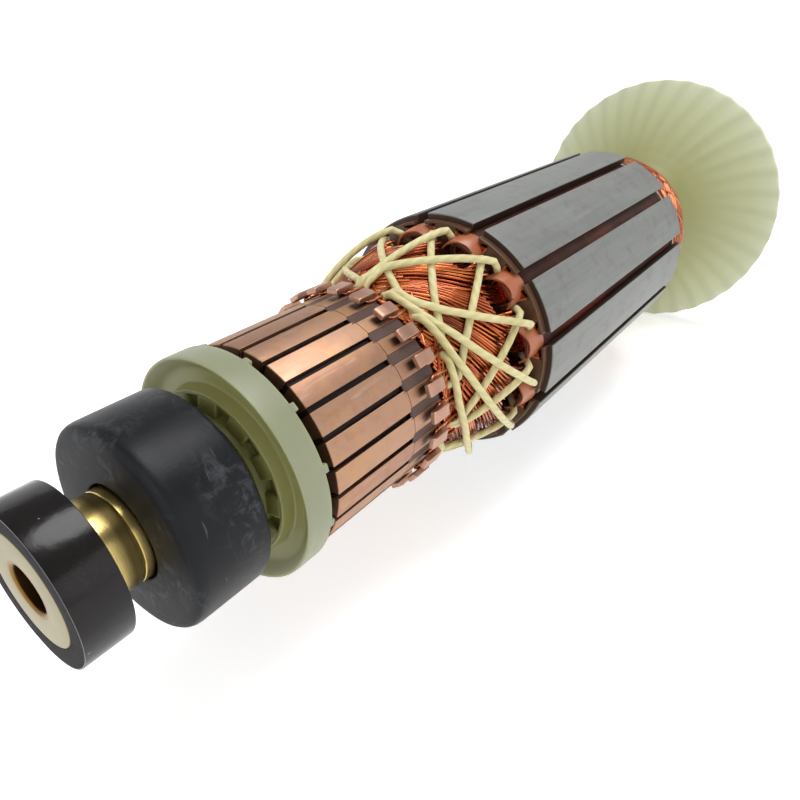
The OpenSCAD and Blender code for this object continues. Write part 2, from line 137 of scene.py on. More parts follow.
def sweep(name, paths, radius, sides=10):
    # round cords along paths of points in metres, with u along the cord in mm and v round it
    points, faces, uvs = [], [], []
    for path in paths:
        base, length, side = len(points), 0, None
        for i, p in enumerate(path):
            ahead = (path[min(i + 1, len(path) - 1)] - path[max(i - 1, 0)]).normalized()
            side = side or ahead.orthogonal()
            side = (side - ahead * side.dot(ahead)).normalized()
            across = ahead.cross(side)
            for k in range(sides):
                a = 2 * math.pi * k / sides
                points.append(p + (side * math.cos(a) + across * math.sin(a)) * radius * mm)
            if i:
                low, high = base + (i - 1) * sides, base + i * sides
                before, length = length, length + (p - path[i - 1]).length / mm
                for k in range(sides):
                    m, v0, v1 = (k + 1) % sides, k / sides, (k + 1) / sides
                    faces.append((low + k, low + m, high + m, high + k))
                    uvs += [(before, v0), (before, v1), (length, v1), (length, v0)]
        last = len(points) - sides
        faces += [tuple(reversed(range(base, base + sides))), tuple(range(last, last + sides))]
        uvs += [(0, 0)] * sides + [(length, 0)] * sides
    mesh = bpy.data.meshes.new(name)
    mesh.from_pydata([tuple(p) for p in points], [], faces)
    mesh.uv_layers.new(name="along").data.foreach_set("uv", [c for uv in uvs for c in uv])
    mesh.shade_smooth()
    return linked(name, mesh)


def joined(name, parts):
    pick(parts)
    bpy.ops.object.join()
    parts[0].name = name
    return parts[0]


def plainMesh(made):
    view = made.evaluated_get(bpy.context.evaluated_depsgraph_get())
    mesh = bpy.data.meshes.new_from_object(view)
    made.modifiers.clear()
    made.data = mesh
    return made


def bevelled(made, width, segments=2, limit=35):
    bevel = made.modifiers.new("edges", "BEVEL")
    bevel.width, bevel.segments = width * mm, segments
    bevel.limit_method, bevel.angle_limit = "ANGLE", math.radians(limit)
    return plainMesh(made)


def walled(made, thickness, offset):
    # a sheet given its thickness in mm
    wall = made.modifiers.new("wall", "SOLIDIFY")
    wall.thickness, wall.offset = thickness * mm, offset
    return outwards(plainMesh(made))


# nodes

usual = {"Mix": {"data_type": "RGBA"}, "TexNoise": {"Detail": 4, "Roughness": 0.55}}


def toLinear(code):
    parts = [int(code[i:i + 2], 16) / 255 for i in (1, 3, 5)]
    return (*[c / 12.92 if c <= 0.04045 else ((c + 0.055) / 1.055) ** 2.4 for c in parts], 1)


def adder(tree):
    # gives the function that adds a node to this tree: its kind, with an operation after a space
    # or a sum by its operation alone, its inputs in order or by name, and its settings; a node
    # given as an input means its output
    def add(kind, *given, stops=(), **named):
        kind, _, operation = ("Math " + kind if kind.isupper() else kind).partition(" ")
        made = tree.nodes.new(next(family + kind for family in ("ShaderNode", "GeometryNode",
                              "FunctionNode", "") if hasattr(bpy.types, family + kind)))
        named = {**usual.get(kind, {}), **named}
        if operation:
            named["blend_type" if kind == "Mix" else "operation"] = operation
        for key in [key for key in named if hasattr(made, key)]:
            setattr(made, key, named.pop(key))
        sockets = [socket for socket in made.inputs if socket.enabled]
        called = {socket.name.replace(" ", "_"): socket for socket in reversed(sockets)}
        for socket, value in [(called[key], named[key]) for key in named] + list(zip(sockets, given)):
            if isinstance(value, bpy.types.Node):
                value = next(out for out in value.outputs if out.enabled)
            if isinstance(value, bpy.types.NodeSocket):
                tree.links.new(value, socket)
            elif value is not None:
                isColour = isinstance(value, str) and value[0] == "#"
                socket.default_value = toLinear(value) if isColour else value
        for i, (at, value) in enumerate(stops):
            marks = made.color_ramp.elements
            mark = marks[i] if i < 2 else marks.new(at)
            mark.position = at
            mark.color = toLinear(value) if isinstance(value, str) else (value, value, value, 1)
        return made
    return add


# finishes: noise scales are in 1/metre, and the round lengths are in mm

looks = {}


def finish(**surface):
    # makes a material of the function under it, which gives the colour, the (source, low, high)
    # of the roughness and the (height, depth in mm) of each relief; a source or height may be the
    # scale, detail and roughness of a noise
    def make(build):
        material = bpy.data.materials.new(build.__name__)
        material.use_nodes = True
        material.node_tree.nodes.clear()
        add = adder(material.node_tree)
        place = add("TexCoord").outputs["Object"]
        colour, worn, *reliefs = build(add, place)
        inputs = {"Base_Color": colour, **surface}

        def grain(source):
            return add("TexNoise", place, *source) if isinstance(source, tuple) else source
        if worn:
            inputs["Roughness"] = add("MapRange", grain(worn[0]), 0, 1, *worn[1:])
        for height, depth in reliefs:
            inputs["Normal"] = add("Bump", Height=grain(height), Distance=depth * mm,
                                   Normal=inputs.get("Normal"))
        add("OutputMaterial", add("BsdfPrincipled", **inputs))
        looks[build.__name__] = material
        return build
    return make


def roundPlace(add, place):
    # distance along the shaft, distance from it and angle round it
    inMm = add("VectorMath SCALE", place, 1 / mm)
    x, y, z = add("SeparateXYZ", inMm).outputs
    r = add("VectorMath LENGTH", add("VectorMath MULTIPLY", inMm, (0, 1, 1)))
    return x, r, add("ARCTAN2", y, add("MULTIPLY", z, -1))


@finish(Metallic=1.0)
def turnedBrass(add, place):
    # polished brass: bright yellow, with fine tool rings and a brown ring painted round the neck as the
    # shade of a thin cut that the mesh leaves out
    x, r, angle = roundPlace(add, place)
    rings = add("TexNoise", x, 9, 2, 0.5, noise_dimensions="1D")
    clean = add("Mix", add("TexNoise", place, 150, 3), "#dcc582", "#cdb36a")
    # painted shade: a brown ring round the neck where its thin cut runs
    neckCutShade = add("MapRange", add("ABSOLUTE", add("ADD", x, 8.2)), 0.1, 0.5, 0.4, 0)
    return add("Mix", neckCutShade, clean, "#8a6034"), ((500, 3), 0.2, 0.28), (rings, 0.003)


@finish(Metallic=0.85)
def facedBrass(add, place):
    # pale and nearly matt, with concentric tool marks, brown specks and a golden edge at the bore; down the
    # bore it is painted dark brown as shade
    x, r, angle = roundPlace(add, place)
    rings = add("TexNoise", r, 7, 3, 0.5, noise_dimensions="1D")
    speck = add("MapRange", add("TexNoise", place, 1100, 4, 0.65), 0.6, 0.74, 0, 0.4)
    cloud = add("Mix", add("TexNoise", place, 240), "#9a9172", "#877b58")
    # painted shade: dark brown where the face dips into the bore, then the golden edge
    inside = add("ValToRGB", add("DIVIDE", r, 10), stops=(
        (0.335, "#6a4a20"), (0.345, "#f0c060"), (0.385, "#e8c98a"), (0.41, "#ffffff")))
    face = add("Mix", speck, cloud, "#8e7444")
    return add("Mix MULTIPLY", 1, face, inside), (rings, 0.34, 0.5), (rings, 0.006)


@finish(IOR=1.55, Specular_IOR_Level=0.22)
def bondedFerrite(add, place):
    # black-brown and glossy from its coating, with a few chipped grey specks
    chips = add("MapRange", add("TexNoise", place, 900, 3, 0.4), 0.735, 0.76)
    cloud = add("Mix", add("TexNoise", place, 300, 5), "#110e0d", "#1a1615")
    colour = add("Mix", add("MULTIPLY", chips, 0.8), cloud, "#8d8a86")
    return colour, ((520, 6, 0.7), 0.1, 0.26), ((700, 5), 0.03), (chips, 0.05)


@finish(IOR=1.55, Specular_IOR_Level=0.08)
def pressedFerrite(add, place):
    # uncoated: dark grey and dull, with fine open pores
    cloud = add("Mix", add("TexNoise", place, 420, 6, 0.65), "#2b2929", "#3c3a3a")
    pores = add("MapRange", add("TexNoise", place, 1500, 3), 0.6, 0.7)
    colour = add("Mix", add("MULTIPLY", pores, 0.5), cloud, "#191716")
    return colour, ((500,), 0.8, 0.95), (pores, -0.03)


@finish(IOR=1.52, Specular_IOR_Level=0.14)
def nitrileRubber(add, place):
    # moulded: charcoal with a soft sheen, grey smears and pale scratches, duller at its front
    smear = add("MapRange", add("TexNoise", place, 330, 7, 0.68, Distortion=1.4), 0.5, 0.66)
    where = add("MapRange", add("TexNoise", place, 70, 2), 0.42, 0.58)
    slim = add("Mapping", place, Scale=(1, 0.2, 0.2))
    scratch = add("MapRange", add("TexNoise", slim, 600, 3, 0.5, Distortion=1.2), 0.672, 0.7, 0, 0.22)
    marks = add("MULTIPLY", smear, where)
    cloud = add("Mix", add("TexNoise", place, 120), "#131416", "#1b1c1f")
    cloud = add("Mix", add("MULTIPLY", marks, 0.55), cloud, "#505256")
    x, r, angle = roundPlace(add, place)
    dull = add("MULTIPLY_ADD", marks, 0.3, add("MapRange", x, -5.75, -5, 1.6, 0))
    worn = add("MULTIPLY_ADD", add("TexNoise", place, 240, 6), 0.8, dull)
    relief = add("ADD", add("TexNoise", place, 2600, 3), marks)
    return add("Mix", scratch, cloud, "#77797b"), (worn, 0.26, 0.54), (relief, 0.02)


@finish(IOR=1.53, Subsurface_Weight=0.35, Subsurface_Scale=0.002, Subsurface_Radius=(1.0, 1.1, 0.6))
def naturalNylon(add, place):
    # natural polyamide: milky green-cream, light passes into it and softens the edges; inside the rim it is
    # painted a darker olive as shade, darkest by the lip
    x, r, angle = roundPlace(add, place)
    cloud = add("Mix", add("TexNoise", place, 160), "#7d8064", "#86896c")
    # painted shade: darker olive inside the rim, darkest below r 12.2
    rimInsideShade = add("ValToRGB", add("MapRange", r, 11, 18), stops=(
        (0.0, "#6a682f"), (0.17, "#7c7a42"), (0.2, "#87854f"), (0.7, "#868550"), (0.9, "#909068")))
    colour = add("Mix", add("MapRange", r, 17.3, 17.5), rimInsideShade, cloud)
    return colour, ((700,), 0.36, 0.52), ((1500, 3), 0.012)


@finish(IOR=1.53, Subsurface_Weight=0.4, Subsurface_Scale=0.003, Subsurface_Radius=(1.0, 1.1, 0.55))
def fanNylon(add, place):
    # natural polyamide in a thin wall: pale yellow-green, and its blades show through as darker lines;
    # painted shade makes it darker olive towards the hub, paling to the rim
    x, r, angle = roundPlace(add, place)
    # painted shade: darker olive near the hub, where the stack shades the disc, paling out to the rim
    depth = add("ValToRGB", add("DIVIDE", r, 40), stops=(
        (0.3, "#828246"), (0.52, "#98996a"), (0.8, "#adb18c"), (0.96, "#babda4")))
    lean = add("MULTIPLY_ADD", add("SUBTRACT", r, 18), math.radians(rotor["bladeLean"]),
               math.radians(rotor["turn"]))
    wave = add("COSINE", add("MULTIPLY", add("SUBTRACT", angle, lean), rotor["blades"]))
    line = add("MULTIPLY", add("MapRange", wave, -0.4, 0.96), add("MapRange", r, 16.8, 24.8, 0, 0.2))
    depth = add("Mix", line, depth, "#85895c")
    fine = add("Mix", add("TexNoise", place, 90), (0.93, 0.93, 0.93, 1), "#ffffff")
    return add("Mix MULTIPLY", 1, depth, fine), ((500,), 0.42, 0.58), ((1200, 3), 0.015)


@finish(Metallic=1.0)
def turnedCopper(add, place):
    # salmon pink, with fine rings from the lathe and golden rubbed places; darker on the front bevel and
    # along a thin line at the end of the run, and painted shadow on the bar in front of and under each tang
    x, r, angle = roundPlace(add, place)
    rings = add("TexNoise", x, 10, 3, 0.5, noise_dimensions="1D")
    lengthwise = add("Mapping", place, Scale=(0.12, 1, 1))
    scratch = add("MapRange", add("TexNoise", lengthwise, 700, 3, 0.5, Distortion=0.6), 0.63, 0.7)
    bar = add("Mix", add("Attribute", attribute_name="shade").outputs["Fac"], "#a27b66", "#b18e75")
    gold = add("MapRange", add("TexNoise", place, 130, 3), 0.5, 0.66, 0, 0.6)
    tarnish = add("MapRange", add("TexNoise", place, 380, 6, 0.7), 0.5, 0.8, 0, 0.42)
    for amount, tint in ((gold, "#b68e60"), (add("MULTIPLY", rings, 0.18), "#966c58"),
                         (tarnish, "#875542"), (add("MULTIPLY", scratch, 0.35), "#d2b49d")):
        bar = add("Mix", amount, bar, tint)
    front = add("MapRange", x, 16.288, 16.328, 0.9, 0)
    # painted shadow: the bar is darkened in front of each tang and under it, where the gap under the hook
    # lies in shade
    turned = add("ADD", angle, math.radians(360 - rotor["turn"]))
    turned = add("MODULO", turned, math.radians(barStep))
    off = add("ABSOLUTE", add("SUBTRACT", turned, math.radians(barStep / 2)))
    tangShadow = add("MULTIPLY", add("MapRange", off, 0.032, 0.046, 1, 0),
               add("MapRange", x, 35.7, 37, 0, 0.85))
    line = add("MapRange", add("ABSOLUTE", add("SUBTRACT", x, 34.02)), 0.05, 0.1, 0.8, 0)
    # the painted shadow from the tangs joins the darker front bevel and thin line here
    darkLinesAndShadow = add("MAXIMUM", add("MAXIMUM", front, tangShadow), line)
    worn = add("TexNoise", add("Mapping", place, Scale=(0.3, 1, 1)), 900, 5, 0.65)
    rough = add("MULTIPLY_ADD", worn, 0.9, add("MULTIPLY", scratch, 0.4))
    return (add("Mix", darkLinesAndShadow, bar, "#3a2418"), (rough, 0.36, 0.64), (rings, 0.004),
            (add("SUBTRACT", worn, scratch), 0.008))


@finish(Metallic=1.0)
def formedCopper(add, place):
    # pinkish brown, dulled by the fusing heat, brighter on the worn edges
    worn = add("MapRange", add("NewGeometry").outputs["Pointiness"], 0.5, 0.56, 0, 0.6)
    cloud = add("Mix", add("TexNoise", place, 600, 5, 0.6), "#a0735f", "#7c5243")
    return add("Mix", worn, cloud, "#d3ae97"), ((1400,), 0.26, 0.5), ((1600,), 0.03)


@finish(IOR=1.58, Specular_IOR_Level=0.14)
def phenolicMoulding(add, place):
    # grey-brown and flush between the bars; down in the slots it is painted nearly black as shade
    x, r, angle = roundPlace(add, place)
    cloud = add("Mix", add("TexNoise", place, 500, 5), "#5e4a43", "#483731")
    # painted shade: nearly black below r 16.5, down in the narrow slots
    return (add("Mix", add("MapRange", r, 16.5, 16.7, 1, 0), cloud, "#160604"),
            ((800,), 0.32, 0.55), ((900, 5), 0.03))


@finish(Metallic=0.9, Coat_Weight=0.5, Coat_Roughness=0.1)
def enamelledWire(add, place):
    # orange-red lacquer over copper, sharp golden glints, dark stained runs
    wire = add("Mix", add("Attribute", attribute_name="shade").outputs["Fac"], "#a8481f", "#d67a3c")
    patch = add("MapRange", add("TexNoise", place, 130), 0.48, 0.66, 0, 0.6)
    return add("Mix", patch, wire, "#561809"), ((600, 3), 0.12, 0.24)


@finish(IOR=1.46, Sheen_Weight=0.15, Subsurface_Weight=0.12, Subsurface_Scale=0.0006)
def waxedCotton(add, place):
    # cream yellow cord, with a low twist of two strands and hairs that catch the light; painted shade
    # darkens it where its two strands meet
    turns = (0.42 * 2 * math.pi, 2 * 2 * math.pi, 0)
    twist = add("SINE", add("VectorMath DOT_PRODUCT", add("UVMap", uv_map="along"), turns))
    hair = add("TexNoise", place, 1500, 4, 0.7)
    cloud = add("Mix", add("TexNoise", place, 190), "#d6cf9e", "#c3b87f")
    cloud = add("Mix", add("MapRange", add("TexNoise", place, 110, 2), 0.52, 0.7, 0, 0.5), cloud, "#a39a55")
    # painted shade: darker where the two strands of the twist meet
    twistShade = add("MULTIPLY", add("SUBTRACT", 1, twist), 0.12)
    return add("Mix", twistShade, cloud, "#9a8c58"), (hair, 0.42, 0.66), (twist, 0.05), (hair, 0.06)


@finish(IOR=1.5, Specular_IOR_Level=0.12)
def wedgeFibre(add, place):
    # vulcanised fibre with varnish: dark red-brown, streaked along the slot
    short, longer, longest = [add("Mapping", place, Scale=(s, 1, 1)) for s in (0.5, 0.3, 0.15)]
    cloud = add("Mix", add("TexNoise", longest, 400, 5), "#4e2b20", "#33201a")
    red = add("MapRange", add("TexNoise", short, 60, 2), 0.5, 0.64, 0, 0.7)
    return (add("Mix", red, cloud, "#7a3524"), ((300,), 0.4, 0.65),
            (add("TexNoise", longer, 380, 5), 0.06))


@finish(Metallic=0.75)
def electricalSteel(add, place):
    # ground: cool grey, half-millimetre sheets, drag marks along the tooth, brown where it is low
    x, r, angle = roundPlace(add, place)
    sheet = add("ValToRGB", add("FRACT", add("MULTIPLY", x, 2)), stops=(
        (0.0, 0.0), (0.12, 1.0), (0.88, 1.0), (1.0, 0.0)))
    drag = add("TexNoise", add("Mapping", place, Scale=(0.05, 1, 1)), 900, 4, 0.6)
    stain = add("MapRange", add("TexNoise", place, 260, 6, 0.7), 0.52, 0.7)
    cloud = add("Mix", add("TexNoise", place, 60), "#828380", "#737471")
    for amount, tint in ((add("MapRange", drag, 0.35, 0.7, 0, 0.4), "#989a96"),
                         (add("MULTIPLY", stain, 0.35), "#6e6a64"),
                         (add("MapRange", r, 23.7, 23.88, 1, 0), "#46352b")):
        cloud = add("Mix", amount, cloud, tint)
    worn = add("MULTIPLY_ADD", drag, 0.7, add("MULTIPLY", stain, 0.4))
    return cloud, (worn, 0.46, 0.66), (sheet, 0.006), (drag, 0.008)


@finish(Metallic=1.0)
def groundSteel(add, place):
    # bright grey with fine grinding rings
    rings = add("TexNoise", roundPlace(add, place)[0], 8, 3, 0.5, noise_dimensions="1D")
    return add("Mix", add("TexNoise", place, 90), "#a3a5a8", "#8b8d90"), (rings, 0.2, 0.34), (rings, 0.003)


@finish(Roughness=0.9, Emission_Strength=0.4, Emission_Color=(1, 1, 1, 1))
def paleBench(add, place):
    # painted board: matt and nearly white
    return add("Mix", add("TexNoise", place, 3, 2), "#fbfbfb", "#f6f6f6"), None


# finishes with nothing but a cloud of two colours, a range of roughness and a relief: each has its
# colours or range or depth in mm, then the scale and detail of its noise
plainFinishes = {
    # copper leads with a skin of varnish: bright brown-orange and glossy
    "varnishedLeads": (("#a85c38", "#d08a5c", 700, 4), (0.14, 0.3, 900, 3), (0.02, 1500, 3),
                       dict(Metallic=0.95, Coat_Weight=0.5, Coat_Roughness=0.08)),
    # trickle varnish run into the coils, wet looking; its near-black red-brown is painted shade for the
    # depths between the wires
    "trickleVarnish": (("#1c0805", "#3e160a", 350, 5, 0.6), (0.14, 0.4, 420, 4), (0.12, 520, 5),
                       dict(IOR=1.55, Specular_IOR_Level=0.3, Coat_Weight=0.2, Coat_Roughness=0.1)),
    # varnished paper: reddish brown and smooth, darker where varnish pooled
    "slotPaper": (("#ad6842", "#8f4f33", 110, 3, 0.5), (0.24, 0.46, 500, 4), (0.03, 400, 3), dict(IOR=1.5)),
    # hard fibre under varnish: brown, glossy in runs
    "endFibre": (("#5f402b", "#3b271a", 260, 5), (0.22, 0.48, 300, 4), (0.08, 500, 5),
                 dict(IOR=1.52, Specular_IOR_Level=0.4)),
    # moulded seal rubber: flat red-brown
    "sealRubber": (("#5a2c1e", "#472219", 300, 4), (0.4, 0.6, 700, 4), (0.02, 1800, 3), dict(IOR=1.5)),
    # moulded cage nylon: warm ivory
    "cageNylon": (("#cdbf98", "#b8a77c", 300, 4), (0.35, 0.5, 700, 4), (0.01, 1500, 3), dict(IOR=1.53)),
}
for finishName, (cloud, worn, relief, surface) in plainFinishes.items():
    def build(add, place):
        return (add("Mix", add("TexNoise", place, *cloud[2:]), *cloud[:2]),
                (worn[2:], *worn[:2]), (relief[1:], relief[0]))
    build.__name__ = finishName
    finish(**surface)(build)
print("finishes ready:", len(looks))


# trees that repeat a piece round the shaft, or lay wires on a coil head

def openTree(name, sockets):
    # sockets are written as name:Kind
    tree = bpy.data.node_groups.new(name, "GeometryNodeTree")
    for title, kind in [socket.split(":") for socket in sockets.split()]:
        tree.interface.new_socket(name=title, in_out="INPUT", socket_type="NodeSocket" + kind)
    tree.interface.new_socket(name="Geometry", in_out="OUTPUT", socket_type="NodeSocketGeometry")
    add = adder(tree)
    return tree, add, add("NodeGroupInput").outputs


def closeTree(tree, add, geometry, look):
    real = add("RealizeInstances", geometry)
    add("NodeGroupOutput", add("SetMaterial", real, Material=looks[look]))
    return tree


def grow(made, tree, **values):
    # runs a tree on an object and leaves it as a plain mesh
    modifier = made.modifiers.new("grow", "NODES")
    modifier.node_group = tree
    for item in tree.interface.items_tree:
        if item.in_out == "INPUT" and item.name in values:
            modifier[item.identifier] = values[item.name]
    made.update_tag()
    bpy.context.view_layer.update()
    return plainMesh(made)


def ringTree(name, look):
    tree, add, given = openTree(name, "piece:Geometry count:Int turn:Float jitter:Float seed:Int")
    spots = add("MeshLine", given["count"], Offset=(0, 0, 0))
    index = add("InputIndex")
    shake = add("RandomValue", -1.0, 1.0, index, given["seed"])
    step = add("DIVIDE", 2 * math.pi, given["count"])
    turn = add("MULTIPLY_ADD", index, step, given["turn"])
    turn = add("MULTIPLY_ADD", shake, given["jitter"], turn)
    placed = add("InstanceOnPoints", spots, Instance=given["piece"],
                 Rotation=add("CombineXYZ", turn, 0, 0))
    tone = add("RandomValue", ID=index, Seed=7)
    tagged = add("StoreNamedAttribute", placed, Name="shade", Value=tone, domain="INSTANCE")
    return closeTree(tree, add, tagged, look)


def ringOf(piece, look, count, turn, jitter=0.0, seed=0):
    # copies of a piece round the shaft; jitter is in radians
    return grow(piece, ringTree(piece.name + "Ring", look), count=count, turn=math.radians(turn),
                jitter=jitter, seed=seed)


def strandTree(name, look, outline):
    # wires laid slantwise round a coil head whose (x, r) outline is drawn into the tree
    tree, add, given = openTree(name, "mesh:Geometry wires:Int coils:Int points:Int start:Float "
                                "end:Float swing:Float turn:Float ease:Float wire:Float lift:Float "
                                "crown:Float wander:Float jitter:Float fill:Float pocketDepth:Float "
                                "pocketStart:Float slotTurn:Float seed:Int")
    strands = add("MULTIPLY", given["wires"], given["coils"])
    spots = add("MeshLine", strands, Offset=(0, 0, 0))
    straight = add("CurvePrimitiveLine", (0, 0, 0), (1, 0, 0))
    fine = add("ResampleCurve", straight, Count=given["points"])
    placed = add("InstanceOnPoints", spots, Instance=fine)
    tagged = add("StoreNamedAttribute", placed, Name="strand",
                 Value=add("InputIndex"), domain="INSTANCE")
    real = add("RealizeInstances", tagged)
    strand = add("InputNamedAttribute", "strand")
    u = add("SeparateXYZ", add("InputPosition"))
    share = add("DIVIDE", add("ADD", strand, 0.5), given["wires"])
    coil = add("FLOOR", share)
    within = add("SUBTRACT", share, coil)
    ownShake, coilShake, coilLift = [
        add("RandomValue", -1.0, 1.0, source, given["seed"])
        for source in (strand, coil, add("ADD", coil, 50))]
    spot = add("CombineXYZ", add("MULTIPLY", u, 2.2), add("MULTIPLY", strand, 5.3),
               add("MULTIPLY", given["seed"], 3.7))
    drift = add("TexNoise", spot, 1, 1, 0.5).outputs["Color"]
    waver = add("SeparateXYZ", add("VectorMath SUBTRACT", drift, (0.5, 0.5, 0.5))).outputs

    # place along the shaft, then the radius there
    x = add("MULTIPLY_ADD", u, add("SUBTRACT", given["end"], given["start"]), given["start"])
    x = add("MULTIPLY_ADD", waver[0], given["wander"], x)
    first, last = outline[0][0], outline[-1][0]
    widest = max(r for _, r in outline)
    at = add("DIVIDE", add("SUBTRACT", x, first), last - first, use_clamp=True)
    curve = add("FloatCurve", Value=at)
    marks = curve.mapping.curves[0].points
    while len(marks) < len(outline):
        marks.new(0.5, 0.5)
    for mark, (px, pr) in zip(marks, outline):
        mark.location = ((px - first) / (last - first), pr / widest)
        mark.handle_type = "AUTO_CLAMPED"
    curve.mapping.update()
    hump = add("MULTIPLY", within, add("SUBTRACT", 1, within))
    lift = add("MULTIPLY_ADD", hump, add("MULTIPLY", given["crown"], 4), given["lift"])
    lift = add("MULTIPLY_ADD", waver[2], add("MULTIPLY", given["wander"], 0.35), lift)
    r = add("MULTIPLY_ADD", curve, widest, lift)
    r = add("MULTIPLY_ADD", coilLift, add("MULTIPLY", given["jitter"], 0.3), r)

    # the slant is steep at the neck and eases off towards the slots
    spread = add("MULTIPLY_ADD", add("SUBTRACT", within, 0.5), given["fill"], 0.5)
    pitch = add("DIVIDE", 2 * math.pi, given["coils"])
    angle = add("MULTIPLY_ADD", add("ADD", coil, spread), pitch, given["turn"])
    eased = add("POWER", add("SUBTRACT", 1, u), given["ease"])
    swing = add("MULTIPLY", given["swing"], add("MULTIPLY_ADD", coilShake, given["jitter"], 1))
    angle = add("SUBTRACT", angle, add("MULTIPLY", eased, swing))
    angle = add("MULTIPLY_ADD", add("MULTIPLY", ownShake, 0.008), given["wander"], angle)

    # before each slot the wires dive into a pocket
    half = math.radians(slotStep / 2)
    turned = add("ADD", add("SUBTRACT", angle, given["slotTurn"]), 20 * math.pi + half)
    off = add("ABSOLUTE", add("SUBTRACT", add("MODULO", turned, 2 * half), half))
    beside = add("MapRange", off, math.radians(8), math.radians(11.5), 1, 0,
                 interpolation_type="SMOOTHSTEP")
    behind = add("MapRange", add("SUBTRACT", x, given["pocketStart"]), 0, 2.6,
                 interpolation_type="SMOOTHSTEP")
    dive = add("MULTIPLY", add("MULTIPLY", beside, behind), given["pocketDepth"])
    r = add("SUBTRACT", r, dive)

    y = add("MULTIPLY", r, add("SINE", angle))
    z = add("MULTIPLY", r, add("MULTIPLY", add("COSINE", angle), -1))
    inMetres = add("VectorMath SCALE", add("CombineXYZ", x, y, z), mm)
    bent = add("SetPosition", real, Position=inMetres)
    tone = add("RandomValue", ID=strand, Seed=11)
    toned = add("StoreNamedAttribute", bent, Name="shade", Value=tone)
    ring = add("CurvePrimitiveCircle", 6, Radius=add("MULTIPLY", given["wire"], mm))
    tube = add("SetShadeSmooth", add("CurveToMesh", toned, ring))
    return closeTree(tree, add, tube, look)


def coat(made, look):
    made.data.materials.append(looks[look])
    return made


def dress(made, look, slot, *nodes, body="armature"):
    if not made.data.materials:
        coat(made, look)
    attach(made, body)
    if nodes:
        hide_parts(*nodes)


# camera, light and bench

view = {
    "place": (-34.35, -66.07, 55.63),      # millimetres
    "forward": (0.6860, 0.5223, -0.5068),
    "right": (0.5995, -0.8002, -0.0132),
    "lens": 29.5,
    "benchHeight": -38.2,
}
camera = linked("camera", bpy.data.cameras.new("camera"))
forward, right = Vector(view["forward"]).normalized(), Vector(view["right"]).normalized()
turnedView = Matrix((right, right.cross(forward), -forward)).transposed().to_4x4()
camera.matrix_world = Matrix.Translation(Vector(view["place"]) * mm) @ turnedView
camera.data.sensor_width = 36
camera.data.lens = view["lens"]
camera.data.clip_start = 0.002
bpy.context.scene.camera = camera

# metres and watts
lamps = {
    "overhead": dict(place=(0.16, -0.05, 0.46), aim=(0.08, 0, 0), size=0.30, power=1.75),
    "leftSide": dict(place=(-0.30, -0.10, 0.30), aim=(0.02, 0, 0), size=0.22, power=0.35),
    "nearSide": dict(place=(0.16, -0.46, 0.16), aim=(0.10, 0, 0), size=0.34, power=0.12),
}
for lampName, lamp in lamps.items():
    light = bpy.data.lights.new(lampName, "AREA")
    light.shape, light.size, light.energy = "DISK", lamp["size"], lamp["power"]
    holder = linked(lampName, light)
    holder.location = lamp["place"]
    aim = Vector(lamp["aim"]) - Vector(lamp["place"])
    holder.rotation_euler = aim.to_track_quat("-Z", "Y").to_euler()

sky = {"colour": (0.95, 0.97, 1.0, 1), "strength": 0.36}
world = bpy.data.worlds.new("studio")
bpy.context.scene.world = world
world.use_nodes = True
world.node_tree.nodes["Background"].inputs[0].default_value = sky["colour"]
world.node_tree.nodes["Background"].inputs[1].default_value = sky["strength"]
bpy.context.scene.view_settings.view_transform = "Standard"

# a round board with its rim swept up behind the object; (reach, rise) in metres
benchShape = {"centre": 0.1, "cuts": 64, "outline": [
    (1.18, 0.8), (1.16, 0.5), (1.14, 0.32), (1.08, 0.18), (0.98, 0.08), (0.85, 0.02), (0.7, 0), (0, 0)]}
benchTurns = [2 * math.pi * s / benchShape["cuts"] for s in range(benchShape["cuts"])]
bench = skin("bench", [[Vector((benchShape["centre"] + reach * math.cos(a), reach * math.sin(a),
                                view["benchHeight"] * mm + rise)) for reach, rise in benchShape["outline"]]
                       for a in benchTurns], ring=False, loop=True)
coat(bench, "paleBench")
print("camera, light and bench ready")


# speed magnet on its brass hub

magnet = {"boreRadius": 3.3, "neckRadius": 6.6, "boreDepth": 5.6, "edge": 0.18, "recess": 0.12,
          "rim": 0.2, "nick": 0.06, "nicks": 3}


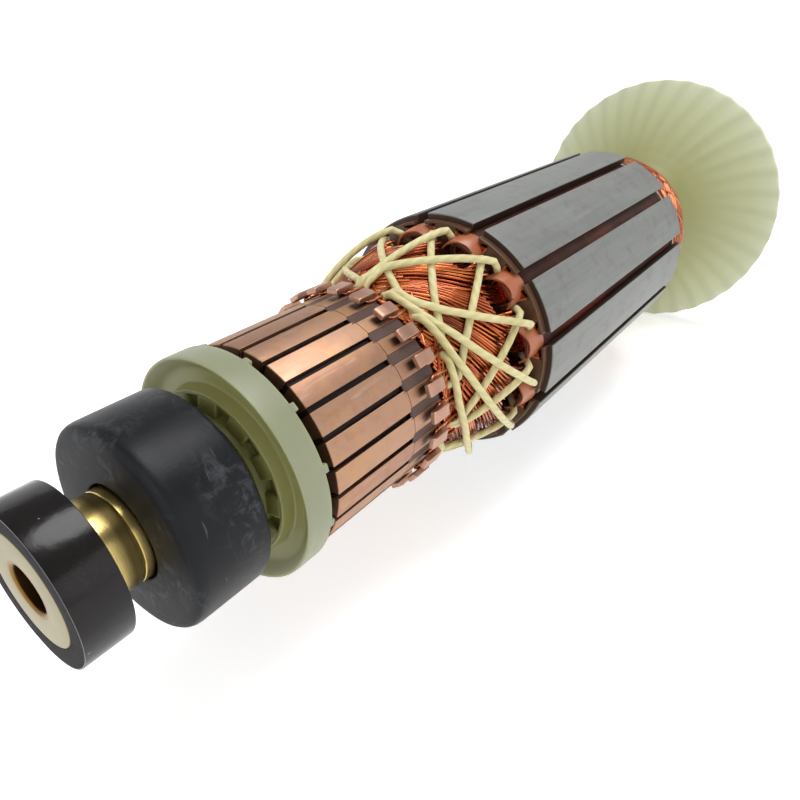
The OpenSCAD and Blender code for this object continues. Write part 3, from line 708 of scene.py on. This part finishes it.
def makeMagnet():
    c = magnet
    x0, x1, rMagnet = span("magnet_ring")
    hub1, rFlange = span("magnet_hub")[1:]
    bore, neck, step = c["boreRadius"], c["neckRadius"], x0 + c["recess"]

    def nicked(x, r, a):
        depth = c["nick"] * max(0, math.sin(math.radians(a * c["nicks"] + 40))) ** 30
        return -depth if r > rMagnet - 0.5 and x < x0 + 0.4 else 0
    dress(lathe("magnetRing", [
        (step, rFlange, 0), (step, rMagnet - c["rim"], 0), (x0, rMagnet - c["rim"], 0.03),
        (x0, rMagnet, c["edge"]), (x1, rMagnet, c["edge"]), (x1, rFlange, 0.1)], wobble=nicked),
        "bondedFerrite", "magnet_ferrite", "magnet_ring")
    dress(lathe("magnetFace", [
        (x0 + 0.5, rFlange, 0), (x0 + 0.01, rFlange, 0.1), (x0 + 0.01, rMagnet - 0.19, 0.02),
        (x0 + 0.5, rMagnet - 0.19, 0)]), "pressedFerrite", "magnet_ferrite", "magnet_ring")
    dress(lathe("hubNeck", [
        (x0 + 0.3, bore + 0.4, 0), (x0 + 0.3, rFlange - 0.02, 0), (x1, rFlange - 0.02, 0.15),
        (x1, neck, 0.2), (hub1 - 0.02, neck, 0.25), (hub1 - 0.02, bore + 0.4, 0)]),
        "turnedBrass", "brass", "magnet_hub")
    inner = x0 + c["boreDepth"]
    dress(lathe("hubFace", [
        (x0 + 0.02, bore + 0.35, 0.1), (x0, rFlange - 0.12, 0.1), (x0 + 0.35, rFlange - 0.01, 0.05),
        (x0 + 0.35, bore + 0.6, 0), (inner, bore + 0.6, 0), (inner, bore, 0), (x0 + 0.35, bore, 0.05)]),
        "facedBrass", "brass", "magnet_hub")


# spacer and boot

boot = {"holeRadius": 7.0, "frontFillet": 1.7, "backFillet": 0.7, "lipRadius": 11.6, "frontWall": 1.4,
        "ringRadius": 13.0, "ringHalf": 4.02, "spacerBore": 5.02}


def makeBoot():
    c = boot
    x0, x1, rBoot = span("rubber_boot")
    hole, lip, ring, half = c["holeRadius"], c["lipRadius"], c["ringRadius"], c["ringHalf"]
    wall = x0 + c["frontWall"]
    dress(lathe("boot", [
        (x0, hole, 0.3), (x0, rBoot, c["frontFillet"]), (x1, rBoot, c["backFillet"]), (x1, lip, 0.3),
        (half, lip, 0), (half, ring, 0), (-half, ring, 0), (-half, lip, 0), (wall, lip, 0),
        (wall, hole, 0.1)], steps=5, segments=192),
        "nitrileRubber", "boot_rubber", "rubber_boot", body="front_bearing_outer")
    s0, s1, rSpacer = span("spacer_sleeve")
    dress(lathe("spacerSleeve", [
        (s0 + 0.02, c["spacerBore"], 0), (s0 + 0.02, rSpacer, 0.25), (s1, rSpacer, 0.1),
        (s1, c["spacerBore"], 0)]), "turnedBrass", "brass", "spacer_sleeve")


# insulating ring in front of the commutator

nylonRing = {"rimFront": 1.2, "rimEdge": 0.4, "web": 2.4, "lipRadius": 12.9, "lug": 0.8,
             "lugWidth": 1.24, "lugTurn": 13.0, "ribTurn": 2.5, "ribWidth": 3.6}


def makeRing():
    c = nylonRing
    x0, x1, rRing = span("insulating_ring")
    back = x1 - c["lug"]
    floor, front = back - c["web"], x0 + c["rimFront"]
    lip, lipFront = c["lipRadius"], x0 + 1.0
    ring = lathe("insulatingRing", [
        (x0, rotor["bore"], 0), (x0, 10.1, 0.2), (x0 + 1.8, 10.3, 0.2), (x0 + 1.8, lip - 0.7, 0.3),
        (lipFront, lip - 0.55, 0.15), (lipFront, lip, 0.2), (floor, lip + 0.3, 0.4),
        (floor, rRing - 2.2, 0.8), (front, rRing - c["rimEdge"], 0.1), (front - 0.05, rRing - 0.1, 0.12),
        (front + 0.5, rRing, 0.3), (back, rRing, 0.12), (back, rotor["bore"], 0)], segments=192, steps=4)
    lug = slab("ringLug", [(back - 0.4, rRing - 1.2), (back - 0.4, rRing - 0.1),
                           (x1, rRing - 0.1), (x1, rRing - 1.2)], c["lugWidth"])
    lugs = ringOf(bevelled(lug, 0.15), "naturalNylon", rotor["slots"], c["lugTurn"])
    rib = slab("ringRib", [(x0 + 0.7, 10.0), (lipFront + 0.02, lip - 0.4), (x0 + 2.5, lip - 0.4),
                           (x0 + 2.5, 10.0)], c["ribWidth"])
    ribs = ringOf(bevelled(rib, 0.3, 3), "naturalNylon", rotor["slots"], c["ribTurn"])
    dress(joined("insulatingRing", [coat(ring, "naturalNylon"), lugs, ribs]),
          "naturalNylon", "ring_nylon", "insulating_ring")


# commutator: bars with tangs, moulding and leads

commutator = {
    "radius": 16.9, "bevel": 2.0, "gap": 0.86, "wideGap": 1.8, "runLength": 17.7, "tangWidth": 2.1,
    "tangLength": 4.3, "tangRise": 1.75, "tangThickness": 1.05, "web": 0.9, "innerRadius": 11.5,
    "undercut": 0.7, "leadRadius": 0.3, "mouldingBore": 9.52,
}


def makeCommutator():
    c = commutator
    b0, b1 = span("commutator_bars")[:2]
    r, inner, web = c["radius"], c["innerRadius"], b1 - c["web"]
    run0 = b0 + c["bevel"]
    run1 = run0 + c["runLength"]
    count, gapTurn = rotor["bars"], rotor["turn"]
    middle = gapTurn + barStep / 2

    def halfAngle(x, radius):
        gap = c["wideGap"] if x > run1 - 0.3 else c["gap"]
        return barStep / 2 - math.degrees(math.asin(gap / 2 / radius))
    bar = bevelled(sector("commutatorBars", [
        (b0, inner, 0), (b0, 14.4, 0.12), (run0 - 0.6, 14.8, 0.1), (run0 + 0.05, r, 0.06),
        (run1 - 0.45, r, 0), (run1 - 0.2, r, 0), (run1 - 0.02, r, 0), (run1 + 0.04, r - 0.12, 0),
        (run1 + 0.1, r, 0), (b1, r, 0.1), (b1, inner, 0)], halfAngle), 0.07, 2, 40)
    dress(ringOf(bar, "turnedCopper", count, middle), "turnedCopper", "copper", "commutator_bars")

    t0, top = b1 - c["tangLength"], r + c["tangRise"]
    under = top - c["tangThickness"]
    tang = bevelled(slab("commutatorTangs", [
        (web, r - 0.3), (b1, r - 0.3), (b1, r + 0.9), (b1 - 0.12, top - 0.15), (b1 - 0.5, top),
        (b1 - 2.2, top - 0.04), (t0 + 0.9, top), (t0 + 0.1, top - 0.12), (t0, under + 0.1),
        (t0 + 0.4, under), (web - 0.3, under), (web, under - 0.25)], c["tangWidth"]), 0.16, 3, 25)
    tangs = ringOf(tang, "formedCopper", count, middle, 0.006, 3)
    dress(tangs, "formedCopper", "copper", "commutator_bars")

    m1 = span("commutator_moulding")[1]
    core = lathe("moulding", [
        (b0 - 0.2, c["mouldingBore"], 0), (b0 - 0.2, 14.0, 0.1), (b0, 14.0, 0), (b0, inner + 0.02, 0),
        (b1 - 0.01, inner + 0.02, 0), (b1 - 0.01, r - 0.6, 0.1), (m1, r - 1.0, 0.1),
        (m1, c["mouldingBore"], 0)], segments=96)
    deep = r - c["undercut"]
    slim = slab("slimFill", [
        (b0 + 0.02, inner), (b0 + 0.02, 13.8), (run0 - 0.3, 14.2), (run0 + 0.4, deep), (run1, deep),
        (run1, inner)], c["gap"] + 0.02)
    wide = bevelled(slab("wideFill", [
        (run1 - 0.42, inner), (run1 - 0.42, r - 0.1), (run1 + 2.4, r - 0.03), (b1 - 0.6, r - 0.06),
        (b1 + 0.1, r - 0.3), (b1 + 0.1, inner)], c["wideGap"] + 0.02), 0.12, 2, 50)
    fills = [ringOf(fill, "phenolicMoulding", count, gapTurn) for fill in (slim, wide)]
    dress(joined("commutatorMoulding", [coat(core, "phenolicMoulding"), *fills]),
          "phenolicMoulding", "moulding_compound", "commutator_moulding")

    # one turn of wire round the web of each tang
    wire = c["leadRadius"]
    y, rLead, head0 = c["tangWidth"] / 2 - 0.05, r + wire + 0.02, span("front_windings")[0]
    bend = [math.radians(15 * k) for k in range(7)]
    line = [(web - y * math.cos(a), y * math.sin(a), 0) for a in bend]
    line += [(b1 - 0.3, y, 0), (b1 + 0.5, y - 0.05, 0.05), (b1 + 1.8, y - 0.3, 0.35),
             (b1 + 3.2, y - 0.6, 0.5), (head0 + 1.2, y - 0.4, 0.2)]
    paths = [[Vector((x, side * across, rise - rLead)) * mm for x, across, rise in line]
             for side in (-1, 1)]
    leads = ringOf(sweep("leadLoops", paths, wire), "varnishedLeads", count, middle, 0.01, 6)
    dress(leads, "varnishedLeads", "lead_copper", "lead_wires")


# coil heads: their outlines are (distance from the head's start, radius)

headOutline = [(-4.6, 16.9), (-3.4, 16.5), (-1.5, 16.1), (0, 16.2), (1.2, 16.7), (2.6, 17.2),
               (4.2, 17.9), (6.5, 18.8), (9, 19.6), (12, 20.3), (15, 20.7), (19.5, 20.9)]
rearOutline = [(0, 20.9), (9.7, 20.8), (13.6, 20.2), (17, 18.9), (19.7, 16.8), (21.1, 14.2), (21.5, 11.5)]
coils = {"pocketDepth": 3.4, "pocketStart": 57.6, "neckStart": 41.6, "headLength": 19.5, "sides": 11,
         "sideRadius": 0.3}
# what each number of a layer of wires is; places are in mm, swing and turn in degrees
layerTerms = "wires start end swing ease wire lift crown wander jitter fill turn seed".split()


def between(table, at):
    # the value at a place of a table of (place, value)
    for (x0, v0), (x1, v1) in zip(table, table[1:]):
        if at <= x1:
            return v0 + (v1 - v0) * max(0, (at - x0) / (x1 - x0))
    return table[-1][1]


def layWires(name, outline, rows, **shared):
    tree = strandTree(name, "enamelledWire", outline)
    layers = []
    for row in rows:
        values = dict(zip(layerTerms, row))
        values["swing"] = math.radians(values["swing"])
        values["turn"] = math.radians(rotor["turn"] + values["turn"])
        layers.append(grow(linked(name, bpy.data.meshes.new(name)), tree, coils=rotor["slots"],
                           **values, **shared))
    return layers


def makeCoils():
    c = coils
    h0, h1, _ = span("front_windings")
    length, pocket, depth = c["headLength"], c["pocketStart"], c["pocketDepth"]

    def hollow(x, r, a):
        # the varnish core sinks between the wires, and more before each slot
        off = abs((a - rotor["turn"] + slotStep / 2) % slotStep - slotStep / 2)
        near = min(1, max(0, (x - pocket - 0.3) / 1.6)) * min(1, max(0, (12 - off) / 2.5))
        return (-1.15 - (depth + 0.2) * near) if r > 14 else 0
    reach = [length * k / 36 for k in range(37)]
    # painted shade: this near-black core shows as the shade in the gaps between the wires
    dress(lathe("frontCoilCore", [
        (h0, rotor["bore"], 0), *[(h0 + x, between(headOutline, x), 0) for x in reach],
        (h1, rotor["bore"], 0)], segments=240, wobble=hollow),
        "trickleVarnish", "lacquered_leads", "front_windings")
    layers = layWires("frontStrands", [(h0 + x, r) for x, r in headOutline], (
        (8, h0 + 0.6, h1 - 3.4, 60, 1.7, 0.27, -0.5, 0.4, 0.1, 0.05, 0.72, 0, 1),
        (7, h0 + 0.2, h1 - 3.6, 66, 1.7, 0.27, -1.2, 0.3, 0.12, 0.05, 0.85, 8, 5),
        (1, h0 + 2.5, h1 - 4.0, 44, 1.5, 0.25, -0.15, 0.0, 0.9, 0.5, 0.5, 15, 9),
        (6, c["neckStart"], h0 + 4.0, 52, 1.1, 0.32, -0.1, 0.25, 0.4, 0.2, 0.9, -30, 21),
        (3, c["neckStart"] + 0.4, h0 + 2.0, -30, 1.0, 0.3, 0.15, 0.1, 0.9, 0.4, 0.8, -20, 27)),
        points=30, pocketDepth=depth, pocketStart=pocket, slotTurn=math.radians(rotor["turn"]))
    # coil sides that turn from the head down into each slot
    paths, rng = [], random.Random(8)
    for slotIndex in range(rotor["slots"]):
        for k in range(c["sides"]):
            place = rotor["turn"] + slotStep * slotIndex + 1.5 * k - 7.5
            drop, lean = 3.0 + 0.5 * rng.random(), 8 + 6 * rng.random()
            path = []
            for t in [j / 8 for j in range(9)]:
                x = pocket + 1.4 + (h1 - pocket - 1.2) * t
                r = between(headOutline, x - h0) - drop + 0.5 * t
                path.append(ringPoint(x, r, place - (1.5 * k - 7.5) * 0.4 * t - lean * (1 - t) ** 2))
            paths.append(path)
    sides = coat(sweep("coilSides", paths, c["sideRadius"], 6), "enamelledWire")
    dress(joined("frontCoilWires", layers + [sides]), "enamelledWire", "enamelled_wire", "front_windings")

    r0, r1, _ = span("rear_windings")
    rearLine = [(r0 + x, r) for x, r in rearOutline]
    # painted shade: the rear core is near black, showing as shade between the wires
    dress(lathe("rearCoilCore", [(r0, rotor["bore"], 0), *[(x, r - 0.9, 0) for x, r in rearLine],
                                 (r1 - 0.1, rotor["bore"], 0)], segments=120),
          "trickleVarnish", "lacquered_leads", "rear_windings")
    dress(joined("rearCoilWires", layWires("rearStrands", rearLine, (
        (9, r1 - 0.6, r0 + 0.6, 80, 1.4, 0.28, -0.36, 0.2, 0.6, 0.15, 0.9, -40, 31),
        (9, r1 - 1.4, r0 + 1.0, 55, 1.4, 0.28, -0.7, 0.2, 0.8, 0.15, 0.9, -70, 35),
        (2, r1 - 2.5, r0 + 2.0, -40, 1.4, 0.28, -0.2, 0.2, 1.6, 0.15, 0.9, 0, 39)),
        points=26, pocketDepth=0.0, pocketStart=r0, slotTurn=0.0)),
        "enamelledWire", "enamelled_wire", "rear_windings")

    n0, n1, _ = span("lead_neck")
    # painted shade: the neck core is near black, showing as shade between the lead wires
    dress(lathe("leadNeck", [
        (n0, rotor["bore"], 0), (n0, 15.3, 0.1), (n0 + 1.2, 15.6, 0.1), (n1, 15.9, 0),
        (n1, rotor["bore"], 0)], segments=120), "trickleVarnish", "lacquered_leads", "lead_neck")


# lacing cord

lacing = {
    "radius": 0.66, "endOffset": 8.0, "over": 2.0, "under": 0.74, "floor": 43.9, "tuckDepth": 3.2,
    # how far round a cord has gone, in degrees back from its slot, at each distance along the shaft
    "run": [(0, 65.5), (4, 63.2), (9, 60), (20, 54.4), (33, 50), (48, 47), (62, 45.2), (78, 44.2),
            (96, 43.9), (130, 43.9)],
    # (stretch, most degrees) of the run for the cord that lies over and the one under, slot by slot
    "overRuns": [(0.95, 70), (1.1, 85), (0.9, 60), (1.0, 75), (1.05, 80), (0.9, 60), (0.3, 9),
                 (1.0, 40), (0.75, 58), (1.05, 88), (1.2, 98), (1.15, 104)],
    "underRuns": [(1.0, 60), (0.9, 66), (1.1, 70), (1.0, 58), (1.0, 70), (1.05, 62), (1.0, 52),
                  (1.0, 48), (0.5, 19), (0.4, 10), (0.9, 50), (1.0, 64)],
}


def smoothAt(table, s):
    # a curve through the table's points
    i = next((i for i in range(len(table) - 2) if s <= table[i + 1][0]), len(table) - 2)
    (s0, x0), (s1, x1) = table[i], table[i + 1]
    before, after = table[max(i - 1, 0)], table[min(i + 2, len(table) - 1)]
    m0 = (x1 - before[1]) / (s1 - before[0])
    m1 = (after[1] - x0) / (after[0] - s0)
    t, w = (s - s0) / (s1 - s0), s1 - s0
    return ((2 * t ** 3 - 3 * t * t + 1) * x0 + (t ** 3 - 2 * t * t + t) * m0 * w
            + (3 * t * t - 2 * t ** 3) * x1 + (t ** 3 - t * t) * m1 * w)


def makeLacing():
    c = lacing
    h0 = span("front_windings")[0]
    paths, rng = [], random.Random(4)
    for i in range(rotor["slots"]):
        for sign, height, runs in ((-1, c["over"], c["overRuns"]), (1, c["under"], c["underRuns"])):
            stretch, most = runs[i]
            endAngle = rotor["turn"] + slotStep * i + sign * c["endOffset"] + rng.uniform(-1, 1)
            floor = c["floor"] + 0.75 * (i % 3) - 0.3
            spots, s = [], 0.0
            while s * stretch < most:
                spots.append((max(smoothAt(c["run"], s), floor), s * stretch))
                s += 2.2
            x, turned = spots[-1]
            while x > floor + 0.2:
                x, turned = x - 0.55, turned + 0.5
                spots.append((x, turned))
            path = []
            for k, (x, turned) in enumerate(spots):
                # it dives at the slot and at its far end, and lies closer at the neck
                tuck = max(0, 1 - k / 2.2)
                sink = max(0, 1 - (len(spots) - 1 - k) / 2.5)
                near = max(0, 1 - (x - floor) / 5)
                lift = height * (1 - 0.25 * near) - tuck ** 1.3 * c["tuckDepth"] - sink * 1.6
                lift += 0.35 * near * math.sin(i * 2.1 + turned * 0.07)
                path.append(ringPoint(x, between(headOutline, x - h0) + lift, endAngle + sign * turned))
            paths.append(path)
    dress(sweep("lacingCord", paths, c["radius"]), "waxedCotton", "cotton_cord", "lacing_cord")


# end discs, stack, wedges and slot papers

stack = {"mouth": 2.5, "tip": 1.8, "toothWidth": 4.6, "rootRadius": 13.2, "discTip": 22.2}


def slotted(name, r, edge, x0, x1):
    # a toothed section drawn out along the shaft, its tooth corners cut by edge
    c = stack
    half, root = c["mouth"] / 2, c["rootRadius"]
    rTip = r - c["tip"] if name == "laminationStack" else c["discTip"]
    flank, root1 = [math.tan(math.radians(slotStep / 2)) * at - c["toothWidth"] / 2 for at in (rTip, root)]
    local = [(r, half + edge), (r - edge, half), (rTip, half), (rTip, flank), (root, root1)]
    corner = math.degrees(math.atan2(half + edge, r))
    ring = []
    for turn in [rotor["turn"] + slotStep * i for i in range(rotor["slots"])]:
        for at, y in [(at, -y) for at, y in local] + local[::-1]:
            ring.append((math.hypot(at, y), turn + math.degrees(math.atan2(y, at))))
        ring += [(r, turn + corner + (slotStep - 2 * corner) * k / 12) for k in range(1, 12)]
    return skin(name, [[ringPoint(x, at, angle) for at, angle in ring] for x in (x0, x1)])


def makeStack():
    s0, s1, r = span("lamination_stack")
    dress(bevelled(slotted("laminationStack", r, 0.08, s0, s1), 0.12, 2, 50),
          "electricalSteel", "lamination_steel", "lamination_stack")
    for nodeName, pieceName in (("front_end_disc", "frontEndDisc"), ("rear_end_disc", "rearEndDisc")):
        d0, d1, rDisc = span(nodeName)
        disc = slotted(pieceName, rDisc - 0.35, 0.1, d0 + 0.01, d1 - 0.01)
        dress(bevelled(disc, 0.3, 3, 50), "endFibre", "end_fibre", nodeName)


slots = {"wedgeRadius": 22.15, "wedgeWidth": 4.4, "wedgeWall": 0.45, "wedgeCuts": 48,
         "collarRadius": 22.05, "collarLength": 4.3, "collarWall": 0.35, "collarRows": 10,
         "collarAcross": 18}


def makeSlots():
    c = slots
    w0, w1, _ = span("slot_wedges")
    s0, s1, _ = span("lamination_stack")
    # the wedge lies a little crowned under the slot mouth, its ends flared and frayed
    rows = []
    for x in [w0 + (w1 - w0) * k / c["wedgeCuts"] for k in range(c["wedgeCuts"] + 1)]:
        out = max(0, s0 - x, x - s1)
        row = []
        for j in range(7):
            dip = 0.05 * math.sin(x * 1.3) + 0.04 * math.sin(x * 3.1 + j)
            rise = (c["wedgeRadius"] - 0.06 * abs(j - 3) ** 1.3 - 0.9 * min(1, out)
                    + dip * (0.6 if out == 0 else 1))
            rise = min(rise, c["wedgeRadius"] + 0.03)
            row.append(Vector((x, c["wedgeWidth"] * (j / 6 - 0.5), -rise)) * mm)
        rows.append(row)
    wedge = walled(skin("slotWedges", rows, ring=False), c["wedgeWall"], -1)
    dress(ringOf(wedge, "wedgeFibre", rotor["slots"], rotor["turn"], 0.004, 12),
          "wedgeFibre", "wedge_fibre", "slot_wedges")

    # a paper collar stands out of each slot end as an arch
    rows = []
    for t in [k / c["collarRows"] for k in range(c["collarRows"] + 1)]:
        row = []
        for v in [2 * j / c["collarAcross"] - 1 for j in range(c["collarAcross"] + 1)]:
            r = (c["collarRadius"] - (0.9 + 1.1 * t) * abs(v) ** 2.6 - 0.6 * t * t
                 + 0.05 * math.sin(5 * v + 3 * t))
            x = s0 - c["collarLength"] * t + 0.5 * math.sin(3 * v + 0.7) * t
            row.append(ringPoint(x, r, v * (6.8 + 3.0 * t ** 0.7)))
        rows.append(row)
    collar = walled(skin("paperCollars", rows, ring=False), c["collarWall"], 0)
    dress(ringOf(collar, "slotPaper", rotor["slots"], rotor["turn"], 0.012, 13), "slotPaper", "slot_paper")


# fan

fan = {
    "ripple": 0.2, "scallop": 0.2, "sweep": 9.0, "wall": 1.5, "rim": 7, "inner": 12, "outer": 37.5,
    "bladeFrom": 12.4, "bladeTo": 37.15, "bladeHalf": 0.5,
    # (radius, how far the disc stands before its rim)
    "front": [(12, 17.6), (13.4, 15.4), (15.6, 13), (18.5, 10.6), (22, 8.2), (26, 5.8), (30, 3.6),
              (34, 1.6), (37.5, 0)],
}


def makeFan():
    c = fan
    x0, x1, _ = span("fan")
    rim, blades, turn = x1 - c["rim"], rotor["blades"], rotor["turn"]
    radii = [c["inner"] + (c["outer"] - c["inner"]) * k / 56 for k in range(57)]

    def leanAt(r):
        return c["sweep"] * (r - 18) / 18
    rows = []
    for a in [turn + 360 * s / (blades * 10) for s in range(blades * 10)]:
        row = []
        for side, r in [(0, r) for r in radii] + [(1, r) for r in reversed(radii)]:
            wave = math.cos(math.radians((a - turn - leanAt(r)) * blades))
            grip = min(1, max(0, (r - 17) / 8)) * (1 - side)
            x = rim - between(c["front"], r) + c["wall"] * side - c["ripple"] * grip * wave
            reach = r + c["scallop"] * (wave - 1) * 0.5 * max(0, (r - 35.5) / 2)
            row.append(ringPoint(x, reach, a))
        rows.append(row)
    disc = skin("fanDisc", rows, loop=True)
    hub = lathe("fanHub", [
        (x0, rotor["bore"], 0.2), (x0, 11.4, 0.4), (x0 + 0.8, 12.05, 0.3), (rim - 17, 12.3, 0),
        (rim - 10, 12.7, 0), (x1, 12.7, 0.4), (x1, rotor["bore"], 0.2)], segments=96)
    # one blade behind the disc, slanted against the radius
    rows = []
    for r in [c["bladeFrom"] + (c["bladeTo"] - c["bladeFrom"]) * k / 18 for k in range(19)]:
        front, half = rim - between(c["front"], r) + c["wall"] * 0.6, math.degrees(c["bladeHalf"] / r)
        reach = min(r, 36 + 0.3 * (r - 36))
        rows.append([ringPoint(x, at, leanAt(r) + side * half) for x, at, side in (
            (front, r, -1), (front, r, 1), (x1 - 0.02, reach, 1), (x1 - 0.02, reach, -1))])
    ring = ringOf(skin("blade", rows), "fanNylon", blades, turn)
    dress(joined("coolingFan", [coat(disc, "fanNylon"), coat(hub, "fanNylon"), ring]),
          "fanNylon", "fan_nylon", "fan")


makeMagnet()
makeBoot()
makeRing()
print("front pieces ready")
makeCommutator()
print("commutator ready")
makeCoils()
makeLacing()
print("coil heads ready")
makeStack()
makeSlots()
makeFan()
print("stack and fan ready")

# the CAD pieces that stay, and what each is made of
kept = {
    "groundSteel": "shaft pinion front_outer_ring front_inner_ring front_balls commutator_bush "
                   "drive_inner_ring drive_outer_ring drive_balls",
    "cageNylon": "front_cage drive_cage", "sealRubber": "front_seals drive_seals",
    "enamelledWire": "slot_windings", "slotPaper": "slot_liners",
}
for look, nodeNames in kept.items():
    for nodeName in nodeNames.split():
        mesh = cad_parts[nodeName].data
        mesh.materials.clear()
        mesh.materials.append(looks[look])
    print("kept CAD pieces dressed:", look, len(nodeNames.split()))
